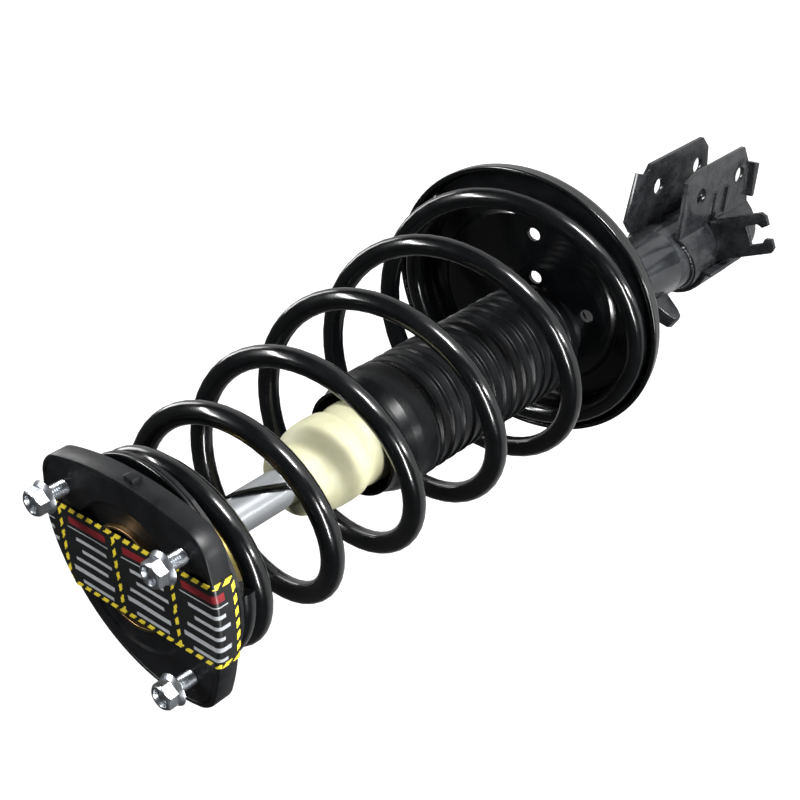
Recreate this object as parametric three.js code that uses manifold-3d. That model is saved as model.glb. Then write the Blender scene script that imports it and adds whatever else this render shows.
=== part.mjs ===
// Front suspension strut assembly, in millimetres. +Z runs up the strut axis from the tube's closed end
// to the top mount, and +X points along the knuckle bracket's ears.
import * as THREE from "three";
import { mergeVertices } from "three/addons/utils/BufferGeometryUtils.js";
import Module from "manifold-3d";

const wasm = await Module();
wasm.setup();

// ---- driving dimensions ----
const GAP = 0.3; // clearance between pieces that touch
const BITE = 1; // how far a cutting or joining solid runs past a face
const ROUND = 32; // sides of a large round piece
const SMALL_ROUND = 16; // sides of a small round piece

// strut tube and what it holds
const TUBE_R = 24.3;
const TUBE_WALL = 2.2;
const TUBE_LENGTH = 326;
const END_CAP_T = 5;
const CYLINDER_R = 17.5;
const CYLINDER_WALL = 1.7;
const VALVE_H = 6.4;
const GUIDE_H = 14;
const SEAL_H = 4;
const TUBE_CAP_T = 4;
const TUBE_CAP_SKIRT = 13;

// piston rod
const ROD_R = 11;
const ROD_THREAD_R = 8;
const PISTON_H = 14;
const PISTON_BELOW_GUIDE = 30;
const REBOUND_STOP_H = 9;
const RUNNING_GAP = 0.35;

// lower spring seat, whose plane leans with the spring
const LEAN = THREE.MathUtils.degToRad(8.5);
const LEAN_AZIMUTH = THREE.MathUtils.degToRad(40);
const SEAT_HEIGHT = 207.5; // underside of the pan's floor, at the pan's centre
const SEAT_OFFSET = 22.5; // the pan's centre from the tube's axis
const SEAT_R = 93.5;
const SEAT_T = 2.5;
const SEAT_WALL_H = 12.5;
const SEAT_STEP_R = 62;
const SEAT_STEP_H = 3;
const SEAT_HOLE_R = 4.4;
const SEAT_HOLES = [[65, 5], [35, 11], [33, -62], [33, 140], [61, 130]]; // radius and degrees
const SUPPORT_H = 12;
const SUPPORT_T = 2.6;

// coil spring
const WIRE_R = 6.25;
const COIL_R_TOP = 52.8;
const COIL_R_BOTTOM = 82.5;
const COIL_TURNS = 6.65;
const DEAD_TURNS_BOTTOM = 0.6;
const DEAD_TURNS_TOP = 0.77;
const PITCH_DROP = 0.43; // how far the pitch has fallen by the top of the spring
const COIL_END_AZIMUTH = THREE.MathUtils.degToRad(40);
const COIL_STEPS_PER_TURN = 20;
const WIRE_SIDES = 10;
const INSULATOR_T = 2.1;

// top mount
const MOUNT_TOP = 552;
const MOUNT_H = 12;
const MOUNT_FACE_T = 2.8;
const MOUNT_SKIRT_T = 4;
const MOUNT_CORNER_R = 17.5;
const MOUNT_FRONT_SAG = 5.5; // how far a front side bulges beyond a straight one
const MOUNT_BACK_SAG = 29.5;
const RECESS_R = 41.7;
const COLLAR_R = 29.1;
const COLLAR_WALL = 1.6;
const COLLAR_FLOOR = 12; // depth of the collar's floor below the mount's face
const FLOOR_T = 1.8;
const PLATE_SEAT_W = 3.3;
const BUMP_PLATE_R = 27.5;
const BUMP_PLATE_T = 2.8;
const BUSH_R = 17;
const BUSH_H = 4.9;
const WASHER_R = 15;
const WASHER_T = 2.2;
const ROD_NUT_AF = 24;
const ROD_NUT_H = 6;

// studs and their flange nuts
const STUD_CIRCLE_R = 55.9;
const STUD_AZIMUTHS = [-53, 49.6, -136.6].map(THREE.MathUtils.degToRad);
const STUD_R = 4;
const STUD_STAND = 17.6; // how far a stud stands above the mount's face
const STUD_HEAD_R = 7.5;
const STUD_HEAD_T = 2.2;
const NUT_AF = 13;
const NUT_H = 7;
const NUT_FLANGE_R = 9;
const NUT_FLANGE_T = 2;
const NUT_STAND = 10.6; // a nut's flange above the mount's face

// bearing and upper spring seat
const BALL_R = 1.8;
const BALL_CIRCLE_R = 38;
const BALL_COUNT = 12;
const RACE_T = 2.2;
const RACE_HALF_W = 5.6;
const UPPER_SEAT_T = 2.3;
const UPPER_SEAT_R = 60;
const CUP_R = 32;
const CUP_WALL = 1.5;
const CUP_DEPTH = 33;
const CUP_FLANGE_R = 43.5;

// bump stop and dust boot
const STOP_ABOVE_TUBE = 46; // the stop's foot above the tube's open end
const STOP_LENGTH = 72;
const STOP_NECK_R = 20.5;
const STOP_BODY_R = 26;
const BOOT_OVERLAP = 22; // how far the boot's rim reaches up past the stop's foot
const BOOT_RIM_R = 31.5;
const BOOT_R = 36.5;
const BOOT_RIB_DEPTH = 3;
const BOOT_WALL = 1.6;
const BOOT_RIBS = 10;
const BOOT_CUP_H = 46;
const BOOT_FOOT_CLEAR = 12;

// knuckle bracket
const SHEET_T = 3;
const EAR_GAP = 31;
const EAR_REACH = 63.5;
const EAR_BOTTOM = -9;
const EAR_TOP = 83;
const EAR_HOLE_X = 44;
const EAR_HOLE_ZS = [5, 57];
const EAR_HOLE_R = 6;
const LIP_W = 5;
const STRAP_T = 3;
const STRAP_Z = [20, 62];
const STRAP_LIP_X = -8;
const STRAP_LIP_W = 2.5;

// hose hook, hose lug and label
const HOOK_Z = 43;
const HOOK_T = 3;
const HOOK_REACH = 43;
const HOOK_HALF_W = 14.5;
const HOOK_SLOT_HALF_W = 7;
const HOOK_SLOT_DEPTH = 17;
const HOOK_CATCH = 3;
const HOOK_AZIMUTH = THREE.MathUtils.degToRad(-69);
const LUG_AZIMUTH = THREE.MathUtils.degToRad(-125);
const LUG_Z = 112;
const LUG_REACH = 20;
const LUG_T = 5;
const LUG_H = 20;
const LABEL_HALF_W = 24.5;
const LABEL_T = 0.6;

// ---- heights and radii that follow from them ----
const STOP_BOTTOM = TUBE_LENGTH + STOP_ABOVE_TUBE;
const STOP_TOP = STOP_BOTTOM + STOP_LENGTH;
const BOOT_TOP = STOP_BOTTOM + BOOT_OVERLAP;
const TUBE_BORE = TUBE_R - TUBE_WALL;
const CYLINDER_BORE = CYLINDER_R - CYLINDER_WALL;
const CYLINDER_BASE = END_CAP_T + GAP + VALVE_H + GAP;
const GUIDE_BASE = TUBE_LENGTH - SEAL_H - GUIDE_H - GAP;
const MOUNT_BASE = MOUNT_TOP - MOUNT_H;
const PLATE_TOP = MOUNT_TOP - MOUNT_FACE_T - GAP;
const RING_BASE = PLATE_TOP - MOUNT_FACE_T;
const UPPER_RACE_BASE = RING_BASE - GAP - RACE_T;
const LOWER_RACE_BASE = UPPER_RACE_BASE - 2 * (BALL_R + GAP) - RACE_T;
const UPPER_SEAT_BASE = LOWER_RACE_BASE - GAP - UPPER_SEAT_T;
const COIL_TOP_Z = UPPER_SEAT_BASE - GAP - INSULATOR_T - GAP - WIRE_R;
const COLLAR_BASE = MOUNT_TOP - COLLAR_FLOOR;
const BUMP_PLATE_BASE = COLLAR_BASE - GAP - BUMP_PLATE_T;
const CLAMP_R = TUBE_R + GAP;
const CLAMP_OUTER_R = CLAMP_R + SHEET_T;

// ---- helpers ----
function solid(geometry) {
  const bare = geometry.clone();
  bare.deleteAttribute("normal");
  bare.deleteAttribute("uv");
  const merged = mergeVertices(bare, 1e-3);
  return new wasm.Manifold(
    new wasm.Mesh({
      numProp: 3,
      vertProperties: new Float32Array(merged.attributes.position.array),
      triVerts: new Uint32Array(merged.index.array),
    }),
  );
}

function geometryOf(body) {
  const { numProp, numVert, vertProperties, triVerts } = body.getMesh();
  const xyz = new Float32Array(numVert * 3);
  for (let i = 0; i < numVert; i++) xyz.set(vertProperties.subarray(i * numProp, i * numProp + 3), i * 3);
  const geometry = new THREE.BufferGeometry();
  geometry.setAttribute("position", new THREE.BufferAttribute(xyz, 3));
  geometry.setIndex(new THREE.BufferAttribute(new Uint32Array(triVerts), 1));
  geometry.computeVertexNormals();
  return geometry;
}

// A solid of revolution about Z from [r, z] points, listed with the outer side going up.
function turned(points, sides = ROUND) {
  const closed = [...points, points[0]].map(([r, z]) => new THREE.Vector2(r, z));
  return solid(new THREE.LatheGeometry(closed, sides).rotateX(Math.PI / 2));
}

function rod(radius, z0, z1, sides = ROUND) {
  const geometry = new THREE.CylinderGeometry(radius, radius, z1 - z0, sides);
  return solid(geometry.rotateX(Math.PI / 2).translate(0, 0, (z0 + z1) / 2));
}

function ring(bore, radius, z0, z1, sides = ROUND) {
  return turned([[bore, z0], [radius, z0], [radius, z1], [bore, z1]], sides);
}

function block(x0, x1, y0, y1, z0, z1) {
  const geometry = new THREE.BoxGeometry(x1 - x0, y1 - y0, z1 - z0);
  return solid(geometry.translate((x0 + x1) / 2, (y0 + y1) / 2, (z0 + z1) / 2));
}

function extruded(shape, z0, z1, curveSegments = 9) {
  const geometry = new THREE.ExtrudeGeometry(shape, { depth: z1 - z0, bevelEnabled: false, curveSegments });
  return solid(geometry.translate(0, 0, z0));
}

// A plate in the XZ plane, from its [x, z] outline, between two Y positions.
function uprightPlate(outline, y0, y1) {
  const shape = new THREE.Shape(outline.map(([x, z]) => new THREE.Vector2(x, z)));
  const geometry = new THREE.ExtrudeGeometry(shape, { depth: y1 - y0, bevelEnabled: false });
  return solid(geometry.rotateX(Math.PI / 2).translate(0, y1, 0));
}

function hexPrism(acrossFlats, z0, z1) {
  return rod(acrossFlats / Math.sqrt(3), z0, z1, 6);
}

function placed(body, matrix) {
  return solid(geometryOf(body).applyMatrix4(matrix));
}

function turnedTo(azimuth, x = 0, y = 0, z = 0) {
  return new THREE.Matrix4().makeRotationZ(azimuth).setPosition(x, y, z);
}

// ---- finishes ----
const FINISHES = {
  paint: { color: 0x17181a, roughness: 0.35, metalness: 0.3 },
  bracketPaint: { color: 0x3c3e41, roughness: 0.45, metalness: 0.4 },
  rubber: { color: 0x1c1d1f, roughness: 0.8, metalness: 0 },
  zinc: { color: 0xb9bdc2, roughness: 0.35, metalness: 0.9 },
  yellowZinc: { color: 0xb39a4e, roughness: 0.4, metalness: 0.8 },
  chrome: { color: 0xdfe3e6, roughness: 0.08, metalness: 1 },
  steel: { color: 0x8d9196, roughness: 0.4, metalness: 0.9 },
  foam: { color: 0xe6e2c4, roughness: 0.6, metalness: 0 },
  nylon: { color: 0x2b2d30, roughness: 0.5, metalness: 0 },
  label: { color: 0x1a1a18, roughness: 0.5, metalness: 0 },
};

const strut = new THREE.Group();

function add(name, body, finish) {
  const mesh = new THREE.Mesh(geometryOf(body), new THREE.MeshStandardMaterial(FINISHES[finish]));
  mesh.name = name;
  strut.add(mesh);
}

// ---- tube and damper ----
function addDamper() {
  add("strut_tube", ring(TUBE_BORE, TUBE_R, 0, TUBE_LENGTH), "paint");
  add("tube_end_cap", rod(TUBE_BORE - GAP, 0, END_CAP_T), "steel");
  add("base_valve", rod(CYLINDER_R, END_CAP_T + GAP, END_CAP_T + GAP + VALVE_H), "steel");
  add("pressure_cylinder", ring(CYLINDER_BORE, CYLINDER_R, CYLINDER_BASE, GUIDE_BASE - GAP), "steel");
  const guideTop = GUIDE_BASE + GUIDE_H;
  add("rod_guide", ring(ROD_R + RUNNING_GAP, TUBE_BORE - GAP, GUIDE_BASE, guideTop), "steel");
  add("rod_seal", ring(ROD_R + RUNNING_GAP, TUBE_BORE - GAP, guideTop + GAP, TUBE_LENGTH), "rubber");
  const capTop = TUBE_LENGTH + GAP + TUBE_CAP_T;
  const capInner = TUBE_R + GAP;
  const capOuter = capInner + TUBE_WALL / 2;
  const capSkirt = TUBE_LENGTH - TUBE_CAP_SKIRT;
  const cap = turned([
    [capInner, capSkirt],
    [capOuter, capSkirt],
    [capOuter, capTop - 1],
    [capOuter - 1, capTop],
    [ROD_R + 2 * RUNNING_GAP, capTop],
    [ROD_R + 2 * RUNNING_GAP, TUBE_LENGTH + GAP],
    [capInner, TUBE_LENGTH + GAP],
  ]);
  add("tube_cap", cap, "steel");
}

function addRod() {
  const pistonTop = GUIDE_BASE - PISTON_BELOW_GUIDE;
  const pistonBase = pistonTop - PISTON_H;
  const shaft = rod(ROD_R, pistonTop + GAP, BUMP_PLATE_BASE - GAP)
    .add(rod(ROD_THREAD_R, BUMP_PLATE_BASE - BITE, MOUNT_TOP - BITE, SMALL_ROUND))
    .add(rod(ROD_THREAD_R, pistonBase - BITE, pistonTop + BITE, SMALL_ROUND));
  add("piston_rod", shaft, "chrome");
  add("piston", ring(ROD_THREAD_R + GAP, CYLINDER_BORE - RUNNING_GAP, pistonBase, pistonTop), "steel");
  const stopBase = pistonTop + GAP;
  const stopR = CYLINDER_BORE - 1;
  add("rebound_stop", ring(ROD_R + GAP, stopR, stopBase, stopBase + REBOUND_STOP_H), "nylon");
}

// ---- lower spring seat ----
// The pan's own frame: its floor's underside is at z = 0, and it leans towards LEAN_AZIMUTH.
const seatFrame = new THREE.Matrix4()
  .makeTranslation(
    SEAT_OFFSET * Math.cos(LEAN_AZIMUTH),
    SEAT_OFFSET * Math.sin(LEAN_AZIMUTH),
    SEAT_HEIGHT,
  )
  .multiply(
    new THREE.Matrix4().makeRotationAxis(
      new THREE.Vector3(Math.sin(LEAN_AZIMUTH), -Math.cos(LEAN_AZIMUTH), 0),
      LEAN,
    ),
  );

function addLowerSeat() {
  const stepIn = SEAT_STEP_R - SEAT_STEP_H;
  const pan = turned([
    [0.01, SEAT_STEP_H],
    [stepIn, SEAT_STEP_H],
    [SEAT_STEP_R, 0],
    [SEAT_R - 4, 0],
    [SEAT_R - 1, 1.5],
    [SEAT_R, 4.5],
    [SEAT_R + 0.6, SEAT_WALL_H - 2],
    [SEAT_R, SEAT_WALL_H],
    [SEAT_R - SEAT_T, SEAT_WALL_H],
    [SEAT_R - SEAT_T - 0.4, 5],
    [SEAT_R - SEAT_T - 2, SEAT_T],
    [SEAT_STEP_R + 1, SEAT_T],
    [stepIn + 1, SEAT_STEP_H + SEAT_T],
    [0.01, SEAT_STEP_H + SEAT_T],
  ], 56);
  let seat = placed(pan, seatFrame).subtract(rod(TUBE_R + GAP, 0, TUBE_LENGTH));
  for (const [radius, azimuth] of SEAT_HOLES) {
    const hole = rod(SEAT_HOLE_R, SEAT_HEIGHT - SEAT_R, SEAT_HEIGHT + SEAT_R, SMALL_ROUND);
    const at = THREE.MathUtils.degToRad(azimuth);
    seat = seat.subtract(placed(hole, turnedTo(0, radius * Math.cos(at), radius * Math.sin(at))));
  }
  add("lower_spring_seat", seat, "paint");
  const inner = TUBE_R + GAP;
  const outer = inner + SUPPORT_T;
  const supportTop = SEAT_HEIGHT + SEAT_STEP_H - (SEAT_OFFSET + outer) * Math.tan(LEAN) - GAP;
  add("seat_support", ring(inner, outer, supportTop - SUPPORT_H, supportTop), "paint");
  const insulatorBase = SEAT_T + GAP;
  const pad = ring(
    COIL_R_BOTTOM - WIRE_R - 1,
    SEAT_R - SEAT_T - 2.6,
    insulatorBase,
    insulatorBase + INSULATOR_T,
    56,
  );
  add("lower_insulator", placed(pad, seatFrame), "rubber");
}

// ---- coil spring ----
// The wire's centre line: it blends from a turn lying in the lower seat to one under the upper seat.
class SpringLine extends THREE.Curve {
  getPoint(t, target = new THREE.Vector3()) {
    const turn = t * COIL_TURNS;
    const activeTurns = COIL_TURNS - DEAD_TURNS_BOTTOM - DEAD_TURNS_TOP;
    const u = THREE.MathUtils.clamp((turn - DEAD_TURNS_BOTTOM) / activeTurns, 0, 1);
    const rise = u + PITCH_DROP * u * u * (1 - u);
    const azimuth = COIL_END_AZIMUTH + 2 * Math.PI * turn;
    const radius = THREE.MathUtils.lerp(COIL_R_BOTTOM, COIL_R_TOP, u);
    const low = new THREE.Vector3(radius * Math.cos(azimuth), radius * Math.sin(azimuth));
    low.z = SEAT_T + GAP + INSULATOR_T + GAP + WIRE_R;
    low.applyMatrix4(seatFrame);
    target.set(radius * Math.cos(azimuth), radius * Math.sin(azimuth), COIL_TOP_Z);
    return target.lerp(low, 1 - rise);
  }
}

function addSpring() {
  const section = new THREE.Shape().absarc(0, 0, WIRE_R, 0, 2 * Math.PI, false);
  const geometry = new THREE.ExtrudeGeometry(section, {
    steps: Math.round(COIL_TURNS * COIL_STEPS_PER_TURN),
    extrudePath: new SpringLine(),
    curveSegments: WIRE_SIDES / 2,
    bevelEnabled: false,
  });
  add("coil_spring", solid(geometry), "paint");
}

// ---- upper spring seat and bearing ----
function addUpperSeat() {
  const seatTop = UPPER_SEAT_BASE + UPPER_SEAT_T;
  const bore = CUP_R + GAP;
  add("upper_spring_seat", ring(bore, UPPER_SEAT_R, UPPER_SEAT_BASE, seatTop), "paint");
  const padTop = UPPER_SEAT_BASE - GAP;
  const pad = ring(CUP_FLANGE_R + 2 * GAP, UPPER_SEAT_R, padTop - INSULATOR_T, padTop);
  add("upper_insulator", pad, "rubber");
  const rim = UPPER_SEAT_BASE - CUP_DEPTH;
  const cup = turned([
    [CUP_R - CUP_WALL, rim],
    [CUP_R, rim],
    [CUP_R, padTop - CUP_WALL - 1],
    [CUP_R + 1, padTop - CUP_WALL],
    [CUP_FLANGE_R, padTop - CUP_WALL],
    [CUP_FLANGE_R, padTop],
    [CUP_R - CUP_WALL, padTop],
  ]);
  add("seat_cup", cup, "yellowZinc");
}

function addBearing() {
  const inner = BALL_CIRCLE_R - RACE_HALF_W;
  const outer = BALL_CIRCLE_R + RACE_HALF_W;
  add("bearing_upper_race", ring(inner, outer, UPPER_RACE_BASE, UPPER_RACE_BASE + RACE_T), "steel");
  add("bearing_lower_race", ring(inner, outer, LOWER_RACE_BASE, LOWER_RACE_BASE + RACE_T), "steel");
  const mid = UPPER_RACE_BASE - GAP - BALL_R;
  let cage = ring(BALL_CIRCLE_R - 3, BALL_CIRCLE_R + 3, mid - BALL_R / 2, mid + BALL_R / 2);
  for (let i = 0; i < BALL_COUNT; i++) {
    const azimuth = (2 * Math.PI * i) / BALL_COUNT;
    const ball = new THREE.SphereGeometry(BALL_R, 8, 4).rotateX(Math.PI / 2);
    ball.translate(BALL_CIRCLE_R * Math.cos(azimuth), BALL_CIRCLE_R * Math.sin(azimuth), mid);
    cage = cage.add(solid(ball));
  }
  add("ball_cage", cage, "nylon");
}

// ---- top mount ----
const studCentres = STUD_AZIMUTHS.map(
  (azimuth) => new THREE.Vector2(Math.cos(azimuth), Math.sin(azimuth)).multiplyScalar(STUD_CIRCLE_R),
);

// The mount's rounded triangle, grown outward by an offset: an arc round each stud, and a flatter arc
// that touches both of its neighbours along each side.
function mountOutline(offset) {
  const corners = [studCentres[0], studCentres[1], studCentres[2]];
  const sags = [MOUNT_FRONT_SAG, MOUNT_BACK_SAG, MOUNT_FRONT_SAG];
  const sides = corners.map((from, i) => {
    const to = corners[(i + 1) % corners.length];
    const half = from.distanceTo(to) / 2;
    const radius = (half * half + sags[i] * sags[i]) / (2 * sags[i]);
    const across = to.clone().sub(from).normalize();
    const outward = new THREE.Vector2(across.y, -across.x);
    const middle = from.clone().add(to).multiplyScalar(0.5);
    return { radius, centre: middle.addScaledVector(outward, sags[i] - radius) };
  });
  const shape = new THREE.Shape();
  corners.forEach((corner, i) => {
    const before = sides[(i + sides.length - 1) % sides.length];
    const after = sides[i];
    const next = corners[(i + 1) % corners.length];
    const a0 = corner.clone().sub(before.centre).angle();
    const a1 = corner.clone().sub(after.centre).angle();
    const a2 = next.clone().sub(after.centre).angle();
    shape.absarc(corner.x, corner.y, MOUNT_CORNER_R + offset, a0, a1, false);
    const reach = after.radius + MOUNT_CORNER_R + offset;
    shape.absarc(after.centre.x, after.centre.y, reach, a1, a2, false);
  });
  return shape;
}

function studHoles(radius, z0, z1) {
  return studCentres.map(({ x, y }) => placed(rod(radius, z0, z1, SMALL_ROUND), turnedTo(0, x, y)));
}

function addMount() {
  const pocket = extruded(mountOutline(-MOUNT_SKIRT_T), MOUNT_BASE - BITE, MOUNT_TOP - MOUNT_FACE_T);
  const body = extruded(mountOutline(0), MOUNT_BASE, MOUNT_TOP)
    .subtract(pocket)
    .add(rod(RECESS_R + PLATE_SEAT_W, RING_BASE, MOUNT_TOP - MOUNT_FACE_T / 2))
    .subtract(ring(COLLAR_R, RECESS_R, PLATE_TOP, MOUNT_TOP + BITE))
    .subtract(rod(COLLAR_R + GAP, MOUNT_BASE - BITE, MOUNT_TOP + BITE));
  const bored = studHoles(STUD_R + GAP, MOUNT_BASE, MOUNT_TOP + BITE).reduce((b, h) => b.subtract(h), body);
  add("mount_body", bored, "rubber");
  const plate = extruded(mountOutline(-MOUNT_SKIRT_T - GAP), RING_BASE, PLATE_TOP)
    .subtract(rod(RECESS_R + PLATE_SEAT_W + GAP, MOUNT_BASE, MOUNT_TOP));
  const drilled = studHoles(STUD_R + GAP, MOUNT_BASE, MOUNT_TOP).reduce((b, h) => b.subtract(h), plate);
  add("mount_plate", drilled, "steel");
  const floorTop = COLLAR_BASE + FLOOR_T;
  const threadClear = ROD_THREAD_R + GAP;
  const collar = turned([
    [threadClear, COLLAR_BASE],
    [COLLAR_R, COLLAR_BASE],
    [COLLAR_R, MOUNT_TOP + GAP],
    [COLLAR_R - COLLAR_WALL, MOUNT_TOP + GAP],
    [COLLAR_R - COLLAR_WALL, floorTop],
    [threadClear, floorTop],
  ]);
  add("mount_collar", collar, "yellowZinc");
  const bushBase = floorTop + GAP;
  add("mount_bush", ring(BUSH_R, COLLAR_R - COLLAR_WALL - GAP, bushBase, bushBase + BUSH_H), "rubber");
  add("rod_washer", ring(threadClear, WASHER_R, bushBase, bushBase + WASHER_T), "zinc");
  const nutBase = bushBase + WASHER_T + GAP;
  const nut = hexPrism(ROD_NUT_AF, nutBase, nutBase + ROD_NUT_H)
    .subtract(rod(threadClear, 0, MOUNT_TOP + BITE, SMALL_ROUND));
  add("rod_nut", nut, "zinc");
  add("bump_plate", ring(threadClear, BUMP_PLATE_R, BUMP_PLATE_BASE, BUMP_PLATE_BASE + BUMP_PLATE_T), "steel");
}

function addStuds() {
  studCentres.forEach(({ x, y }, i) => {
    const headTop = RING_BASE - GAP;
    const stud = rod(STUD_HEAD_R, headTop - STUD_HEAD_T, headTop, SMALL_ROUND)
      .add(rod(STUD_R, headTop - BITE, MOUNT_TOP + STUD_STAND, SMALL_ROUND));
    add(`stud_${i + 1}`, placed(stud, turnedTo(0, x, y)), "zinc");
    const base = MOUNT_TOP + NUT_STAND;
    const shoulder = base + NUT_FLANGE_T;
    const hexTop = base + NUT_FLANGE_T + NUT_H;
    const nut = rod(NUT_FLANGE_R, base, shoulder, 32)
      .add(hexPrism(NUT_AF, shoulder - BITE, hexTop))
      .subtract(rod(STUD_R + GAP, MOUNT_TOP, hexTop + BITE, SMALL_ROUND));
    add(`flange_nut_${i + 1}`, placed(nut, turnedTo(STUD_AZIMUTHS[i], x, y)), "zinc");
  });
}

// ---- bump stop and boot ----
function addBumpStop() {
  const bore = ROD_R + RUNNING_GAP;
  const stop = turned([
    [bore, STOP_BOTTOM],
    [STOP_BODY_R - 2.5, STOP_BOTTOM],
    [STOP_BODY_R - 1, STOP_BOTTOM + 6],
    [STOP_BODY_R - 1, STOP_BOTTOM + 24],
    [STOP_BODY_R - 2.5, STOP_BOTTOM + 27],
    [STOP_BODY_R - 2.5, STOP_BOTTOM + 29],
    [STOP_BODY_R, STOP_BOTTOM + 33],
    [STOP_BODY_R, STOP_TOP - 22],
    [STOP_BODY_R - 2, STOP_TOP - 17],
    [STOP_NECK_R, STOP_TOP - 12],
    [STOP_NECK_R, STOP_TOP - 1.5],
    [STOP_NECK_R - 1.5, STOP_TOP],
    [bore, STOP_TOP],
  ]);
  add("bump_stop", stop, "foam");
}

function addBoot() {
  const foot = SEAT_HEIGHT + SEAT_STEP_H + SEAT_T + BOOT_FOOT_CLEAR;
  const ribTop = BOOT_TOP - BOOT_CUP_H;
  const pitch = (ribTop - foot) / BOOT_RIBS;
  const valleyR = BOOT_R - BOOT_RIB_DEPTH;
  const outside = [];
  for (let i = 0; i < BOOT_RIBS; i++) {
    outside.push([valleyR, foot + i * pitch], [BOOT_R, foot + (i + 0.5) * pitch]);
  }
  outside.push([valleyR, ribTop]);
  outside.push([BOOT_R, ribTop + 2], [BOOT_R, BOOT_TOP - 17], [BOOT_R - 2, BOOT_TOP - 12]);
  outside.push([BOOT_RIM_R, BOOT_TOP - 5], [BOOT_RIM_R, BOOT_TOP]);
  const inside = [
    [BOOT_RIM_R - BOOT_WALL, BOOT_TOP],
    [BOOT_RIM_R - BOOT_WALL, BOOT_TOP - 6],
    [valleyR - BOOT_WALL, BOOT_TOP - 13],
    [valleyR - BOOT_WALL, foot],
  ];
  add("dust_boot", turned([...outside, ...inside]), "rubber");
}

// ---- knuckle bracket and what is welded to the tube ----
function addBracket() {
  const earY = EAR_GAP / 2;
  const topSlope = 0.34;
  const wrap = ring(CLAMP_R, CLAMP_OUTER_R, EAR_BOTTOM, EAR_TOP).subtract(
    uprightPlate(
      [
        [-CLAMP_OUTER_R - BITE, EAR_TOP - topSlope * 2 * CLAMP_OUTER_R],
        [CLAMP_R, EAR_TOP + BITE],
        [-CLAMP_OUTER_R - BITE, EAR_TOP + BITE],
      ],
      -CLAMP_OUTER_R - BITE,
      CLAMP_OUTER_R + BITE,
    ),
  ).subtract(block(0, EAR_REACH, -earY, earY, EAR_BOTTOM - BITE, EAR_TOP + BITE));
  const root = Math.sqrt(CLAMP_R ** 2 - earY ** 2) + GAP;
  const nearEar = uprightPlate(
    [
      [root, EAR_BOTTOM],
      [EAR_REACH - 13, EAR_BOTTOM + 2],
      [EAR_REACH, EAR_BOTTOM + 9],
      [EAR_REACH, EAR_TOP - 20],
      [EAR_REACH - 4, EAR_TOP - 7],
      [root + 2, EAR_TOP],
      [root, EAR_TOP],
    ],
    -earY - SHEET_T,
    -earY,
  );
  const farEar = uprightPlate(
    [
      [root, EAR_BOTTOM],
      [EAR_REACH - 9, EAR_BOTTOM],
      [EAR_REACH, EAR_BOTTOM + 8],
      [EAR_REACH, EAR_TOP - 15],
      [EAR_REACH - 6, EAR_TOP - 9],
      [EAR_REACH - 2, EAR_TOP + 1],
      [root + 10, EAR_TOP + 14],
      [root, EAR_TOP + 7],
    ],
    earY,
    earY + SHEET_T,
  );
  // a folded lip along the near ear's lower edge
  const nearLip = uprightPlate(
    [
      [root + 6, EAR_BOTTOM],
      [EAR_REACH - 15, EAR_BOTTOM - 5],
      [EAR_REACH - 13, EAR_BOTTOM + 2],
      [root + 6, EAR_BOTTOM + SHEET_T],
    ],
    -earY - SHEET_T - LIP_W,
    -earY - BITE,
  );
  // pressed ribs that stiffen the near ear between its bolt holes
  const ribs = [0, 1].map((i) => {
    const z = (EAR_HOLE_ZS[0] + EAR_HOLE_ZS[1]) / 2 - 8 + 16 * i;
    return uprightPlate(
      [[root + 4, z], [EAR_HOLE_X - 3, z - 4], [EAR_HOLE_X - 3, z], [root + 4, z + 4]],
      -earY - SHEET_T - 1.6,
      -earY - BITE,
    );
  });
  let bracket = [nearEar, farEar, nearLip, ...ribs].reduce((b, piece) => b.add(piece), wrap);
  for (const z of EAR_HOLE_ZS) {
    const bolt = rod(EAR_HOLE_R, -EAR_REACH, EAR_REACH, SMALL_ROUND);
    const across = new THREE.Matrix4().makeRotationX(Math.PI / 2).setPosition(EAR_HOLE_X, 0, z);
    bracket = bracket.subtract(placed(bolt, across));
  }
  bracket = bracket.subtract(rod(CLAMP_R, EAR_BOTTOM - BITE, EAR_TOP + 2 * EAR_REACH));
  add("knuckle_bracket", bracket, "bracketPaint");
  addStrap();
}

// The outer strap that doubles the clamp's back, with a folded lip at its near end.
function addStrap() {
  const inner = CLAMP_OUTER_R + GAP;
  const outer = inner + STRAP_T;
  const [z0, z1] = STRAP_Z;
  const foot = -Math.sqrt(inner ** 2 - STRAP_LIP_X ** 2);
  const strap = ring(inner, outer, z0, z1)
    .subtract(block(STRAP_LIP_X, outer + BITE, -outer - BITE, outer + BITE, z0 - BITE, z1 + BITE))
    .add(block(STRAP_LIP_X - STRAP_T, STRAP_LIP_X, -outer - STRAP_LIP_W, foot, z0, z1));
  add("bracket_reinforcement", strap.subtract(rod(inner, z0 - BITE, z1 + BITE)), "bracketPaint");
}

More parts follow.
